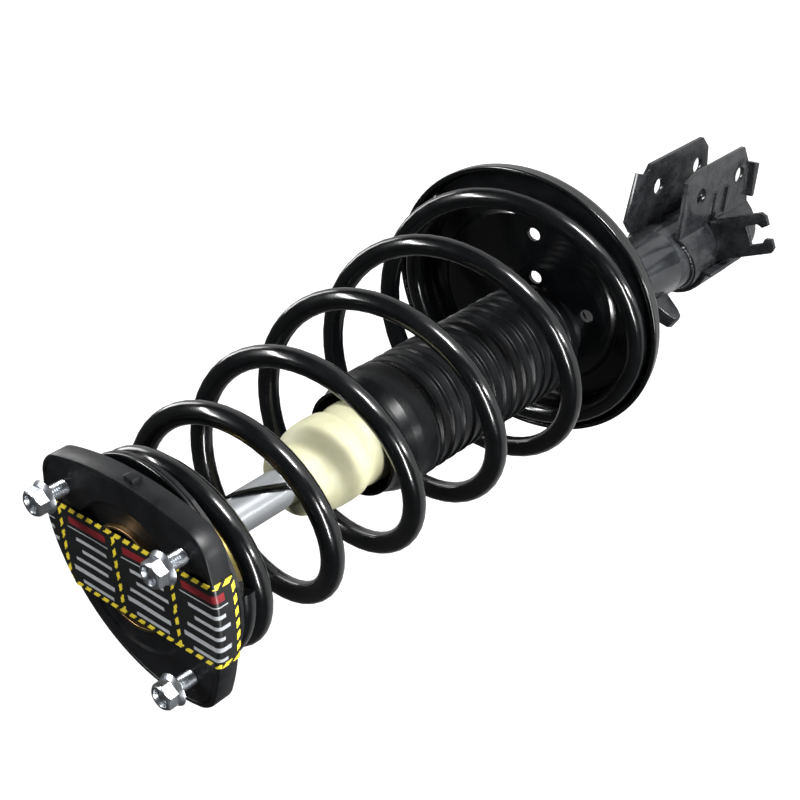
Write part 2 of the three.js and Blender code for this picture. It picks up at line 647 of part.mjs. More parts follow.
function addHoseHook() {
  const start = CLAMP_OUTER_R + GAP;
  const tip = start + HOOK_REACH;
  const slot = tip - HOOK_SLOT_DEPTH;
  const catchHalf = HOOK_SLOT_HALF_W - HOOK_CATCH;
  const outline = [
    [start - 4, -HOOK_HALF_W],
    [tip - 3, -HOOK_HALF_W],
    [tip, -HOOK_HALF_W + 3],
    [tip, -catchHalf - 1],
    [tip - 5, -catchHalf],
    [tip - 8, -HOOK_SLOT_HALF_W],
    [slot, -HOOK_SLOT_HALF_W],
    [slot, HOOK_SLOT_HALF_W],
    [tip - 8, HOOK_SLOT_HALF_W],
    [tip - 5, catchHalf],
    [tip, catchHalf + 1],
    [tip, HOOK_HALF_W - 3],
    [tip - 3, HOOK_HALF_W],
    [start - 4, HOOK_HALF_W],
  ].map(([x, y]) => new THREE.Vector2(x, y));
  const plate = extruded(new THREE.Shape(outline), HOOK_Z, HOOK_Z + HOOK_T);
  // a folded tab that lies against the clamp
  const tab = block(start - 4, start + HOOK_T, -HOOK_HALF_W, HOOK_HALF_W, HOOK_Z - 12, HOOK_Z + BITE);
  const hook = placed(plate.add(tab), turnedTo(HOOK_AZIMUTH))
    .subtract(rod(CLAMP_OUTER_R + GAP, EAR_BOTTOM, EAR_TOP))
    .subtract(block(0, EAR_REACH, -EAR_GAP / 2 - SHEET_T - 2, 0, EAR_BOTTOM, EAR_TOP));
  add("hose_hook", hook, "bracketPaint");
}

function addLug() {
  const start = TUBE_R + GAP;
  const tip = start + LUG_REACH;
  const half = LUG_H / 2;
  const outline = [
    [start - 3, -half],
    [tip - 6, -half * 0.6],
    [tip - 1.5, -half * 0.35],
    [tip, 0],
    [tip - 1.5, half * 0.35],
    [tip - 6, half * 0.6],
    [start - 3, half],
  ].map(([x, z]) => [x, LUG_Z + z]);
  const lug = placed(uprightPlate(outline, -LUG_T, LUG_T), turnedTo(LUG_AZIMUTH));
  add("hose_lug", lug.subtract(rod(TUBE_R + GAP, LUG_Z - LUG_H, LUG_Z + LUG_H)), "bracketPaint");
}

// The label band lies across the mount's face and folds down its skirt at both ends.
function addLabel() {
  const under = MOUNT_TOP + 2 * GAP;
  const shell = extruded(mountOutline(GAP + LABEL_T), MOUNT_BASE + 1, under + LABEL_T)
    .subtract(extruded(mountOutline(GAP), MOUNT_BASE, under));
  const reach = 2 * STUD_CIRCLE_R;
  const band = block(1 - LABEL_HALF_W, 1 + LABEL_HALF_W, -reach, reach, MOUNT_BASE, under + BITE);
  const back = block(-reach, reach, reach / 4, reach, MOUNT_BASE, MOUNT_TOP - MOUNT_FACE_T);
  add("label_band", shell.intersect(band).subtract(back), "label");
}

addDamper();
addRod();
addLowerSeat();
addSpring();
addUpperSeat();
addBearing();
addMount();
addStuds();
addBumpStop();
addBoot();
addBracket();
addHoseHook();
addLug();
addLabel();

export default strut;
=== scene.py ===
"""Looks for a passenger-car suspension strut.

Each sub-assembly is a class: its fields are the piece's sizes and its methods build and dress the
meshes. Every piece is placed in the strut's own frame, with the damper's axis on Z. Lengths are in
millimetres where metres are not named.
"""

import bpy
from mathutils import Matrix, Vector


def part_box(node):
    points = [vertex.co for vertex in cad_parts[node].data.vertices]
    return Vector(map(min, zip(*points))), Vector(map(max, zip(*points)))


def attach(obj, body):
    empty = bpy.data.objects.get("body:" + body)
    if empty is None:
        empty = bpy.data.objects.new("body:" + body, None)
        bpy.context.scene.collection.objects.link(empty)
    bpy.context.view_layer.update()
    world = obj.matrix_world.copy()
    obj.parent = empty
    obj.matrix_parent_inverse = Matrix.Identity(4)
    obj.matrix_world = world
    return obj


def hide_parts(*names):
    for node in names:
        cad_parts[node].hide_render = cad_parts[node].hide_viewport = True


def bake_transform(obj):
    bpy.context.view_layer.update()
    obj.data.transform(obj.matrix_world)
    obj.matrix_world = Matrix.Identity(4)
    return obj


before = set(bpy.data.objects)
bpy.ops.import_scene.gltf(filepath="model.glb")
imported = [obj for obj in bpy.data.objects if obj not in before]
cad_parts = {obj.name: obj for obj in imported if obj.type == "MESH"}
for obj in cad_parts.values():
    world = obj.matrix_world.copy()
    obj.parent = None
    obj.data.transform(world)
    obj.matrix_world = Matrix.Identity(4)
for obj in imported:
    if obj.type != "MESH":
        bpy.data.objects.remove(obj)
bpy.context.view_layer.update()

import logging
import math
from dataclasses import dataclass
from enum import Enum
from typing import Callable, Sequence

import bmesh
import bpy
from mathutils import Matrix, Vector

LOG = logging.getLogger("strut")
MM = 0.001
TURN = 2 * math.pi
PRESSED_SHEET, PRESSED_CORNER = 3.0, 2.6  # the bracket's thickness and its outline's corner radius
SMOOTH_BELOW = math.radians(38)  # edges that turn by more than this stay sharp
MIX_FACTOR, MIX_A, MIX_B, MIX_RESULT = 0, 6, 7, 2  # the colour mix node's sockets
Point = tuple[float, float]
Shape = bmesh.types.BMesh
Piece = bpy.types.Object


class Body(Enum):
    """The rigid bodies that pieces ride on."""

    STRUT = "strut_body"
    STOP = "bump_stop"
    SEAT = "upper_seat"
    CAGE = "ball_cage"
    MOUNT = "mount"


# ---- colours and nodes ----
def linear(code: str) -> tuple[float, float, float, float]:
    """Turns an sRGB hex value into a linear colour.

    Args:
        code: Six hex digits, such as "1a2b3c".

    Returns:
        Linear red, green, blue and an alpha of 1.
    """
    shares = [int(code[i : i + 2], 16) / 255 for i in (0, 2, 4)]
    bent = [c / 12.92 if c <= 0.04045 else ((c + 0.055) / 1.055) ** 2.4 for c in shares]
    return (bent[0], bent[1], bent[2], 1.0)


def add_node(
    tree: bpy.types.NodeTree,
    kind: str,
    settings: dict[str, object] | None = None,
    links: dict[str, bpy.types.NodeSocket] | None = None,
) -> bpy.types.Node:
    """Adds a node with its settings and incoming links.

    Args:
        tree: The node tree that gets it.
        kind: The node's Blender type name.
        settings: Values by name, for an input socket where one has that name, else for a property.
        links: Output sockets by the name of the input that each one feeds.

    Returns:
        The new node.
    """
    node = tree.nodes.new(kind)
    for name, value in (settings or {}).items():
        if name in node.inputs:
            node.inputs[name].default_value = value
        else:
            setattr(node, name, value)
    for name, socket in (links or {}).items():
        tree.links.new(socket, node.inputs[name])
    return node


# ---- finishes ----
@dataclass(frozen=True)
class Finish:
    """A surface that has one base colour with a darker or lighter drift, and a fine relief.

    Args:
        name: The material's name.
        colour: Base colour, sRGB hex.
        drift_colour: What the base colour drifts to, sRGB hex.
        drift_mm: Width of the drift's patches.
        drift: How much of the drift colour the patches reach, 0 to 1.
        metallic: Metallic share.
        roughness: Lowest and highest roughness.
        relief_mm: Width of the relief's bumps.
        relief_depth_mm: Height of the relief's bumps.
        coat: Weight of the clear layer on top.
        coat_roughness: Roughness of that layer.
        soft: Subsurface weight.
        specular: Strength of the base's own reflection, 0.5 being the usual for its IOR.
    """

    name: str
    colour: str
    drift_colour: str
    drift_mm: float
    drift: float
    metallic: float
    roughness: Point
    relief_mm: float
    relief_depth_mm: float
    coat: float = 0.0
    coat_roughness: float = 0.1
    soft: float = 0.0
    specular: float = 0.5

    def material(self) -> bpy.types.Material:
        """Makes this finish's material, or finds it if it is already made.

        Returns:
            The material.
        """
        found = bpy.data.materials.get(self.name)
        if found:
            return found
        made = bpy.data.materials.new(self.name)
        made.use_nodes = True
        tree = made.node_tree
        shader = tree.nodes["Principled BSDF"]
        plain = {
            "Metallic": self.metallic,
            "Specular IOR Level": self.specular,
            "Coat Weight": self.coat,
            "Coat Roughness": self.coat_roughness,
            "Subsurface Weight": self.soft,
            "Subsurface Radius": (0.004, 0.003, 0.002),
            "Subsurface Scale": 1.0 if self.soft else 0.0,
        }
        for socket, value in plain.items():
            shader.inputs[socket].default_value = value
        smooth, rough = self.roughness
        place = add_node(tree, "ShaderNodeTexCoord").outputs["Object"]
        clouds = {"Scale": 1 / (self.drift_mm * MM), "Detail": 4.0, "Roughness": 0.6}
        patches = add_node(tree, "ShaderNodeTexNoise", clouds, {"Vector": place}).outputs["Fac"]
        reach = {"From Min": 0.35, "From Max": 0.7, "To Min": 0.0, "To Max": self.drift}
        share = add_node(tree, "ShaderNodeMapRange", reach, {"Value": patches})
        mixed = add_node(tree, "ShaderNodeMix", {"data_type": "RGBA"})
        mixed.inputs[MIX_A].default_value = linear(self.colour)
        mixed.inputs[MIX_B].default_value = linear(self.drift_colour)
        tree.links.new(share.outputs["Result"], mixed.inputs[MIX_FACTOR])
        tree.links.new(mixed.outputs[MIX_RESULT], shader.inputs["Base Color"])
        shine = {"From Min": 0.3, "From Max": 0.7, "To Min": smooth, "To Max": rough}
        gloss = add_node(tree, "ShaderNodeMapRange", shine, {"Value": patches})
        tree.links.new(gloss.outputs["Result"], shader.inputs["Roughness"])
        bumps = {"Scale": 1 / (self.relief_mm * MM), "Detail": 3.0}
        grain = add_node(tree, "ShaderNodeTexNoise", bumps, {"Vector": place}).outputs["Fac"]
        depth = {"Strength": 1.0, "Distance": self.relief_depth_mm * MM}
        bump = add_node(tree, "ShaderNodeBump", depth, {"Height": grain})
        tree.links.new(bump.outputs["Normal"], shader.inputs["Normal"])
        return made


# Gloss black polyester powder coat, sprayed on and baked: it flows into a faint orange peel, drawn
# at 2.5 mm so that it shows, under a clear skin that gives long sharp lights.
POWDER_COAT = Finish(
    "gloss_black_powder_coat", "060708", "0c0d0f", 14, 0.6, 0.0, (0.17, 0.25), 2.5, 0.03,
    coat=0.4, coat_roughness=0.06, specular=0.4,
)
# Satin charcoal electrocoat over pressed steel: thin, so the sheet's rolling marks and handling
# scuffs show through it as grey clouds.
ELECTROCOAT = Finish(
    "satin_charcoal_electrocoat", "1f2022", "3c3e41", 9, 0.75, 0.45, (0.2, 0.36), 1.4, 0.04,
    coat=0.5, coat_roughness=0.14,
)
# The same coat on the tube's smooth drawn steel: more metal shows and lights draw out into streaks.
TUBE_COAT = Finish(
    "grey_tube_electrocoat", "35373a", "55585b", 16, 0.7, 0.7, (0.14, 0.24), 1.6, 0.012,
    coat=0.4, coat_roughness=0.08,
)
# Compression-moulded natural rubber: satin, with a dusty bloom and the mould's fine grain.
RUBBER = Finish(
    "moulded_black_rubber", "0c0d0f", "151618", 11, 0.8, 0.0, (0.34, 0.48), 0.8, 0.03, specular=0.3
)
# Blow-moulded rubber for the boot: smoother than the mount's, so it has a broad soft light.
BOOT_RUBBER = Finish(
    "blow_moulded_boot_rubber", "08090a", "101113", 13, 0.7, 0.0, (0.26, 0.36), 1.1, 0.015,
    specular=0.16,
)
# Bright zinc electroplate: cool and clean with faint cloudy patches.
ZINC = Finish("bright_zinc_plate", "b9bdc2", "9ba1a8", 3, 0.6, 1.0, (0.28, 0.42), 0.8, 0.004)
# Zinc with a yellow chromate passivate: straw gold that drifts towards olive and rose.
CHROMATE = Finish("yellow_chromate_zinc", "b8a062", "8d8a52", 7, 0.8, 1.0, (0.22, 0.38), 0.9, 0.008)
# The same passivate gone brown with handling grease, on the collar that a socket reaches into.
BROWN_CHROMATE = Finish(
    "worn_brown_chromate", "7d6244", "8f7a50", 5, 0.8, 1.0, (0.28, 0.44), 0.9, 0.01
)
# Hard chrome, ground and polished: nearly a mirror, with the faintest grinding haze.
CHROME = Finish("ground_hard_chrome", "c6c9cc", "b4b8bc", 20, 0.4, 1.0, (0.04, 0.09), 0.4, 0.001)
# Turned mild steel with a film of oil: grey and half bright, broken up by the tool's marks.
STEEL = Finish("oiled_turned_steel", "85898e", "6d7176", 5, 0.6, 1.0, (0.3, 0.42), 0.5, 0.01)
# Microcellular polyurethane: dense cream foam with a moulded skin, a little light gets into it.
URETHANE = Finish(
    "cream_microcellular_urethane", "b9b899", "a9a886", 12, 0.6, 0.0, (0.42, 0.58), 1.0, 0.03,
    soft=0.12,
)
# Injection-moulded black nylon: even and slightly waxy, with the mould's fine texture.
NYLON = Finish("moulded_black_nylon", "1d1f22", "282a2e", 6, 0.5, 0.0, (0.4, 0.55), 0.7, 0.02)
# Vinyl film: an even satin black that the printed inks sit on.
FILM = Finish("black_vinyl_film", "101112", "18191a", 8, 0.5, 0.0, (0.3, 0.42), 3.0, 0.02)
# Screen inks: flat and opaque, a touch drier than the film. Yellow is the border's dashes, grey the
# rows of bars and dark red the heading bars.
INK_YELLOW = Finish("yellow_screen_ink", "e3cf3c", "c9b32c", 4, 0.6, 0.0, (0.34, 0.46), 1.5, 0.01)
INK_GREY = Finish("light_grey_screen_ink", "a6a9ac", "8e9194", 3, 0.6, 0.0, (0.36, 0.48), 1.5, 0.01)
INK_RED = Finish("dark_red_screen_ink", "7a1d24", "5c151b", 4, 0.6, 0.0, (0.34, 0.46), 1.5, 0.01)
# Painted studio board: matt and even. Its glow is what turns it white in the picture.
BOARD = Finish("white_studio_board", "b4b4b4", "aeaeae", 400, 0.3, 0.0, (0.6, 0.7), 30, 0.01)


# ---- shapes ----
def rounded(bm: Shape, geom: list, radius: float, segments: int, affect: str = "EDGES") -> None:
    """Rounds some of a shape's corners or edges.

    Args:
        bm: The shape.
        geom: The corners or edges.
        radius: Rounding.
        segments: Steps across the rounding.
        affect: VERTICES for corners of a flat outline, EDGES for edges.
    """
    bmesh.ops.bevel(
        bm,
        geom=geom,
        offset=radius * MM,
        offset_type="OFFSET",
        segments=segments,
        profile=0.5,
        affect=affect,
        clamp_overlap=True,
        material=-1,
    )


def turned(profile: Sequence[Point], steps: int = 96, rounding: float = 0.0) -> Shape:
    """Spins a closed profile round Z.

    Args:
        profile: Corners as (radius, height).
        steps: Steps in the full turn.
        rounding: Radius that the corners are rounded to.

    Returns:
        A closed shape in metres.
    """
    bm = bmesh.new()
    corners = [bm.verts.new((r * MM, 0, z * MM)) for r, z in profile]
    for start, end in zip(corners, corners[1:] + corners[:1]):
        bm.edges.new((start, end))
    if rounding:
        rounded(bm, list(bm.verts), rounding, 3, "VERTICES")
    bmesh.ops.spin(
        bm,
        geom=list(bm.verts) + list(bm.edges),
        cent=(0, 0, 0),
        axis=(0, 0, 1),
        angle=TURN,
        steps=steps,
        use_merge=True,
    )
    bmesh.ops.remove_doubles(bm, verts=bm.verts, dist=1e-6)
    bmesh.ops.recalc_face_normals(bm, faces=bm.faces)
    return bm


def extruded_outline(outline: Sequence[Point], z0: float, z1: float) -> Shape:
    """Extrudes an outline upwards.

    Args:
        outline: Corners as (x, y) in millimetres, going round anticlockwise.
        z0: Lower height.
        z1: Upper height.

    Returns:
        A closed shape in metres.
    """
    bm = bmesh.new()
    floor = bm.faces.new([bm.verts.new((x * MM, y * MM, z0 * MM)) for x, y in outline])
    grown = bmesh.ops.extrude_face_region(bm, geom=[floor], use_keep_orig=True)
    lifted = [item for item in grown["geom"] if isinstance(item, bmesh.types.BMVert)]
    bmesh.ops.translate(bm, verts=lifted, vec=(0, 0, (z1 - z0) * MM))
    bmesh.ops.recalc_face_normals(bm, faces=bm.faces)
    return bm


def sharp_edges(
    bm: Shape, degrees: float, keep: Callable[[Vector], bool]
) -> list[bmesh.types.BMEdge]:
    """Finds edges that turn by more than an angle.

    Args:
        bm: The shape.
        degrees: Least angle between the edge's two faces.
        keep: Says for an edge's middle, in metres, whether that edge counts.

    Returns:
        The edges.
    """
    least = math.radians(degrees)
    return [
        e
        for e in bm.edges
        if e.is_manifold
        and e.calc_face_angle(0) > least
        and keep((e.verts[0].co + e.verts[1].co) / 2)
    ]


def eased(
    bm: Shape,
    radius: float,
    degrees: float = 35,
    keep: Callable[[Vector], bool] = lambda middle: True,
) -> Shape:
    """Rounds a shape's sharp edges over.

    Args:
        bm: The shape.
        radius: Rounding.
        degrees: Least angle of an edge that is rounded.
        keep: Says for an edge's middle, in metres, whether it is rounded.

    Returns:
        The same shape.
    """
    rounded(bm, sharp_edges(bm, degrees, keep), radius, 2)
    return bm


def moved(bm: Shape, matrix: Matrix) -> Shape:
    """Moves a shape.

    Args:
        bm: The shape.
        matrix: Its move, in metres.

    Returns:
        The same shape.
    """
    bmesh.ops.transform(bm, matrix=matrix, verts=bm.verts)
    return bm


def as_object(name: str, bm: Shape, finishes: Sequence[Finish]) -> Piece:
    """Makes an object of a shape.

    Args:
        name: The object's name.
        bm: The shape, which is freed.
        finishes: Its finishes, in the order of its material slots.

    Returns:
        The linked object.
    """
    mesh = bpy.data.meshes.new(name)
    bm.to_mesh(mesh)
    bm.free()
    for finish in finishes:
        mesh.materials.append(finish.material())
    mesh.shade_smooth()
    mesh.set_sharp_from_angle(angle=SMOOTH_BELOW)
    made = bpy.data.objects.new(name, mesh)
    bpy.context.scene.collection.objects.link(made)
    return made


def cut(target: Piece, tool: Shape, operation: str = "DIFFERENCE") -> None:
    """Applies a boolean to an object with a tool shape, which is used up.

    Args:
        target: The object that changes.
        tool: The shape that cuts it.
        operation: DIFFERENCE, UNION or INTERSECT.
    """
    cutter = as_object("cutter", tool, [])
    modifier = target.modifiers.new("cut", "BOOLEAN")
    modifier.operation = operation
    modifier.solver = "EXACT"
    modifier.object = cutter
    graph = bpy.context.evaluated_depsgraph_get()
    result = bpy.data.meshes.new_from_object(target.evaluated_get(graph))
    target.modifiers.clear()
    old = target.data
    target.data = result
    bpy.data.meshes.remove(old)
    bpy.data.objects.remove(cutter)
    result.shade_smooth()
    result.set_sharp_from_angle(angle=SMOOTH_BELOW)


def settle(piece: Piece, body: Body, slot: str, *nodes: str) -> Piece:
    """Makes a finished piece ride on its body and stand for its CAD nodes.

    Args:
        piece: The piece.
        body: The body it moves with.
        slot: Not used.
        nodes: CAD nodes it stands for.

    Returns:
        The same piece.
    """
    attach(piece, body.value)
    if nodes:
        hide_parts(*nodes)
    return piece


def pressed_copy(node: str, name: str, ease: float) -> Piece:
    """Makes a pressed-steel piece of a CAD node's shape, its corners and edges rounded.

    Args:
        node: The CAD node.
        name: The new piece's name.
        ease: Edge rounding.

    Returns:
        The piece, which stands for the node.
    """
    bm = bmesh.new()
    bm.from_mesh(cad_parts[node].data)
    bmesh.ops.remove_doubles(bm, verts=bm.verts, dist=1e-5)
    bmesh.ops.dissolve_limit(bm, angle_limit=math.radians(1), verts=bm.verts, edges=bm.edges)
    corners = []  # the cut outline's corners, which are as long as the sheet is thick
    for edge in sharp_edges(bm, 25, lambda middle: True):
        along = (edge.verts[1].co - edge.verts[0].co).normalized()
        if abs(edge.calc_length() / MM - PRESSED_SHEET) < 0.1 and abs(along.y) > 0.9:
            corners.append(edge)
    rounded(bm, corners, PRESSED_CORNER, 4)
    eased(bm, ease)
    bmesh.ops.triangulate(bm, faces=[f for f in bm.faces if len(f.verts) > 4])
    return settle(as_object(name, bm, [ELECTROCOAT]), Body.STRUT, "bracket_paint", node)


# ---- sub-assemblies ----
@dataclass
class LowerSeat:
    """The dished pan that carries the spring, leaning on the tube, with its weld."""

    lean: float = math.radians(8.5)
    azimuth: float = math.radians(40)
    offset: float = 22.5
    height: float = 207.5
    radius: float = 93.5
    wall: float = 12.5
    sheet: float = 2.5
    step_radius: float = 62.0
    step: float = 3.0
    tube_radius: float = 24.6
    hole_radius: float = 4.4
    drill_span: Point = (150.0, 260.0)
    holes: tuple[Point, ...] = ((65, 5), (35, 11), (33, -62), (33, 140), (61, 130))

    def placement(self) -> Matrix:
        """Finds the pan's own frame.

        Returns:
            The frame, with the floor's underside at zero height.
        """
        centre = Vector((math.cos(self.azimuth), math.sin(self.azimuth), 0)) * self.offset
        centre.z = self.height
        hinge = Vector((math.sin(self.azimuth), -math.cos(self.azimuth), 0))
        return Matrix.Translation(centre * MM) @ Matrix.Rotation(self.lean, 4, hinge)

    def pan_profile(self) -> list[Point]:
        """Draws the pan's section.

        Returns:
            Corners from the axis out along the underside and back along the top.
        """
        r, t, w, s = self.radius, self.sheet, self.wall, self.step
        inner = self.step_radius
        return [
            (0, s), (inner - s, s), (inner, 0), (r - 6, 0), (r - 2.2, 1.2), (r - 0.4, 4.6),
            (r + 0.4, w - 3), (r + 0.9, w - 1), (r + 0.2, w), (r - t + 0.2, w), (r - t, w - 2.4),
            (r - t - 0.8, 5.2), (r - t - 2.6, t + 0.6), (inner + 1, t), (inner - s + 1, s + t),
            (0, s + t),
        ]

    def build(self) -> None:
        """Builds the pan and the weld bead round the tube."""
        dish = moved(turned(self.pan_profile(), 160, 0.7), self.placement())
        pan = as_object("spring_pan", dish, [POWDER_COAT])
        cut(pan, turned([(0, 0), (self.tube_radius, 0), (self.tube_radius, 330), (0, 330)], 96))
        hole = self.hole_radius
        low, high = self.drill_span
        for radius, degrees in self.holes:
            drill = turned([(0, low), (hole, low), (hole, high), (0, high)], 40)
            azimuth = math.radians(degrees)
            at = Vector((math.cos(azimuth), math.sin(azimuth), 0)) * radius * MM
            cut(pan, moved(drill, Matrix.Translation(at)))
        settle(pan, Body.STRUT, "black_paint", "lower_spring_seat")
        settle(self.weld(), Body.STRUT, "black_paint")

    def weld(self) -> Piece:
        """Makes the bead that runs round the tube under the pan.

        Returns:
            The bead, not yet riding.
        """
        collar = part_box("seat_support")[0].z / MM
        bead = turned([(24.4, collar - 2.4), (27.4, collar - 0.2), (24.4, collar - 0.2)], 120, 0.6)
        for vert in bead.verts:
            angle = math.atan2(vert.co.y, vert.co.x)
            ripple = 1 + 0.012 * math.sin(38 * angle)
            vert.co.x *= ripple
            vert.co.y *= ripple
        return as_object("pan_weld_bead", bead, [ELECTROCOAT])


@dataclass
class CoilSpring:
    """The tapered, right-handed spring: a wire path that a round section follows."""

    seat: LowerSeat
    wire: float = 6.25
    top_radius: float = 52.8
    bottom_radius: float = 82.5
    turns: float = 6.65
    dead_bottom: float = 0.6
    dead_top: float = 0.77
    pitch_drop: float = 0.43
    end_azimuth: float = math.radians(40)
    top_height: float = 525.65
    bottom_height: float = 11.45
    steps_per_turn: int = 48
    sides: int = 24

    def point(self, turn: float) -> Vector:
        """Finds the wire's centre.

        Args:
            turn: Turns from the wire's lower end.

        Returns:
            The centre in metres.
        """
        active = self.turns - self.dead_bottom - self.dead_top
        u = min(1.0, max(0.0, (turn - self.dead_bottom) / active))
        rise = u + self.pitch_drop * u * u * (1 - u)
        azimuth = self.end_azimuth + TURN * turn
        radius = self.bottom_radius + (self.top_radius - self.bottom_radius) * u
        flat = Vector((radius * math.cos(azimuth), radius * math.sin(azimuth), 0))
        low = self.seat.placement() @ ((flat + Vector((0, 0, self.bottom_height))) * MM)
        high = (flat + Vector((0, 0, self.top_height))) * MM
        return high.lerp(low, 1 - rise)

    def path(self) -> Shape:
        """Draws the wire's centre line.

        Returns:
            A chain of edges.
        """
        bm = bmesh.new()
        count = round(self.turns * self.steps_per_turn)
        tip = bm.verts.new(self.point(0))
        for step in range(1, count + 1):
            grown = bmesh.ops.extrude_vert_indiv(bm, verts=[tip])
            tip = grown["verts"][0]
            tip.co = self.point(self.turns * step / count)
        return bm

    def wire_tree(self) -> bpy.types.NodeTree:
        """Makes the nodes that run a round section along the centre line.

        Returns:
            The node tree.
        """
        tree = bpy.data.node_groups.new("spring_wire", "GeometryNodeTree")
        tree.interface.new_socket("Geometry", in_out="INPUT", socket_type="NodeSocketGeometry")
        tree.interface.new_socket("Geometry", in_out="OUTPUT", socket_type="NodeSocketGeometry")
        start = add_node(tree, "NodeGroupInput").outputs["Geometry"]
        line = add_node(tree, "GeometryNodeMeshToCurve", links={"Mesh": start})
        round_wire = {"Resolution": self.sides, "Radius": self.wire * MM}
        section = add_node(tree, "GeometryNodeCurvePrimitiveCircle", round_wire)
        swept = {"Curve": line.outputs["Curve"], "Profile Curve": section.outputs["Curve"]}
        skin = add_node(tree, "GeometryNodeCurveToMesh", {"Fill Caps": True}, swept)
        coat = {"Material": POWDER_COAT.material()}
        bare = {"Geometry": skin.outputs["Mesh"]}
        dressed = add_node(tree, "GeometryNodeSetMaterial", coat, bare)
        add_node(tree, "NodeGroupOutput", links={"Geometry": dressed.outputs["Geometry"]})
        return tree

    def build(self) -> None:
        """Builds the spring."""
        spring = as_object("spring_coil", self.path(), [POWDER_COAT])
        wire = spring.modifiers.new("wire", "NODES")
        wire.node_group = self.wire_tree()
        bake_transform(spring)
        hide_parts("coil_spring")


@dataclass
class Damper:
    """The tube and its rod."""

    tube_radius: float = 24.3
    tube_bore: float = 22.1
    tube_length: float = 326.0
    rod_radius: float = 11.0
    thread_radius: float = 8.0
    piston_base: float = 263.7
    piston_top: float = 277.7
    shoulder: float = 536.6
    rod_top: float = 551.0

    def build(self) -> None:
        """Builds the tube and the rod."""
        r, b = self.tube_radius, self.tube_bore
        tube = turned(
            [
                (b, 0), (r - 1.6, 0), (r - 0.3, 1.4), (r, 5), (r, 86), (r - 0.25, 87), (r, 88),
                (r, self.tube_length), (b, self.tube_length),
            ],
            128,
        )
        settle(as_object("damper_tube", tube, [TUBE_COAT]), Body.STRUT, "black_paint", "strut_tube")
        rod = turned(
            [
                (0, self.piston_base - 1), (self.thread_radius, self.piston_base - 1),
                (self.thread_radius, self.piston_top + 0.3),
                (self.rod_radius, self.piston_top + 0.3),
                (self.rod_radius, self.shoulder - 0.8), (self.rod_radius - 0.8, self.shoulder),
                (self.thread_radius, self.shoulder), (self.thread_radius, self.rod_top - 1),
                (self.thread_radius - 1, self.rod_top), (0, self.rod_top),
            ],
            96,
        )
        settle(as_object("chromed_rod", rod, [CHROME]), Body.SEAT, "chrome", "piston_rod")


@dataclass
class BumpStop:
    """The foam stop that rides high on the rod."""

    bore: float = 11.35
    bottom: float = 372.0
    top: float = 444.0
    body_radius: float = 26.0
    neck_radius: float = 20.5

    def build(self) -> None:
        """Builds the stop with its soft groove."""
        b, t, r, n = self.bottom, self.top, self.body_radius, self.neck_radius
        stop = turned(
            [
                (self.bore, b), (r - 3, b), (r - 1.4, b + 5), (r - 0.9, b + 14), (r - 1.2, b + 23),
                (r - 2.8, b + 27.5), (r - 2.4, b + 31), (r - 0.3, b + 35), (r, t - 30),
                (r - 0.3, t - 22), (r - 1.8, t - 16), (n + 0.8, t - 11.5), (n, t - 9), (n, t - 2),
                (n - 1.8, t), (self.bore, t),
            ],
            128,
            1.6,
        )
        settle(as_object("foam_bump_stop", stop, [URETHANE]), Body.STOP, "cream_foam", "bump_stop")


@dataclass
class DustBoot:
    """The ribbed boot that hangs from the bump stop down to the pan."""

    foot: float = 225.2
    rib_top: float = 358.0
    top: float = 394.0
    ribs: int = 14
    radius: float = 36.5
    rim_radius: float = 31.5
    rib_depth: float = 1.7
    wall: float = 1.6

    def outside(self) -> list[Point]:
        """Draws the ribbed outside.

        Returns:
            Corners from the foot up.
        """
        pitch = (self.rib_top - self.foot) / self.ribs
        valley = self.radius - self.rib_depth
        points: list[Point] = []
        crest, rim, top = self.radius, self.rim_radius, self.top
        for rib in range(self.ribs):
            z = self.foot + rib * pitch
            points += [
                (valley, z), (valley + 0.1, z + pitch * 0.5), (valley + 0.5, z + pitch * 0.62),
                (crest - 0.2, z + pitch * 0.74), (crest - 0.2, z + pitch * 0.84),
                (valley + 0.4, z + pitch * 0.96),
            ]
        return points + [
            (valley, self.rib_top + 0.4), (crest - 0.4, self.rib_top + 2.0),
            (crest, self.rib_top + 4), (crest, top - 21), (crest - 0.8, top - 15.5),
            (crest - 2.8, top - 10), (rim + 0.5, top - 6.5), (rim, top - 4), (rim, top),
        ]

    def build(self) -> None:
        """Builds the boot, which reaches from the pan up to the bump stop."""
        outside = self.outside()
        inside = [(r - self.wall, z) for r, z in reversed(outside)]
        boot = as_object("ribbed_dust_boot", turned(outside + inside, 96, 0.35), [BOOT_RUBBER])
        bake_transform(boot)
        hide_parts("dust_boot")


@dataclass
class UpperSeat:
    """The upper spring seat and the plated cup that hangs from it."""

    seat_base: float = 534.6
    seat_thickness: float = 2.3
    seat_radius: float = 60.0
    cup_radius: float = 32.0
    cup_depth: float = 33.0
    flange_radius: float = 43.5

    def build(self) -> None:
        """Builds the seat and the cup."""
        z, t, r = self.seat_base, self.seat_thickness, self.seat_radius
        bore = self.cup_radius + 0.3
        seat = turned([(bore, z), (r, z), (r, z + t), (bore, z + t)], 128, 0.7)
        plate = as_object("upper_spring_plate", seat, [POWDER_COAT])
        settle(plate, Body.SEAT, "black_paint", "upper_spring_seat")
        c, rim, top = self.cup_radius, z - self.cup_depth, z - 0.3
        cup = turned(
            [
                (c - 1.5, rim), (c - 0.4, rim), (c, rim + 1), (c, top - 4.2), (c + 1.6, top - 1.9),
                (c + 4, top - 1.5), (self.flange_radius, top - 1.5), (self.flange_radius, top),
                (c + 2, top), (c - 0.6, top - 1.6), (c - 1.5, top - 4.6),
            ],
            128,
            0.4,
        )
        settle(as_object("plated_seat_cup", cup, [CHROMATE]), Body.SEAT, "yellow_zinc", "seat_cup")


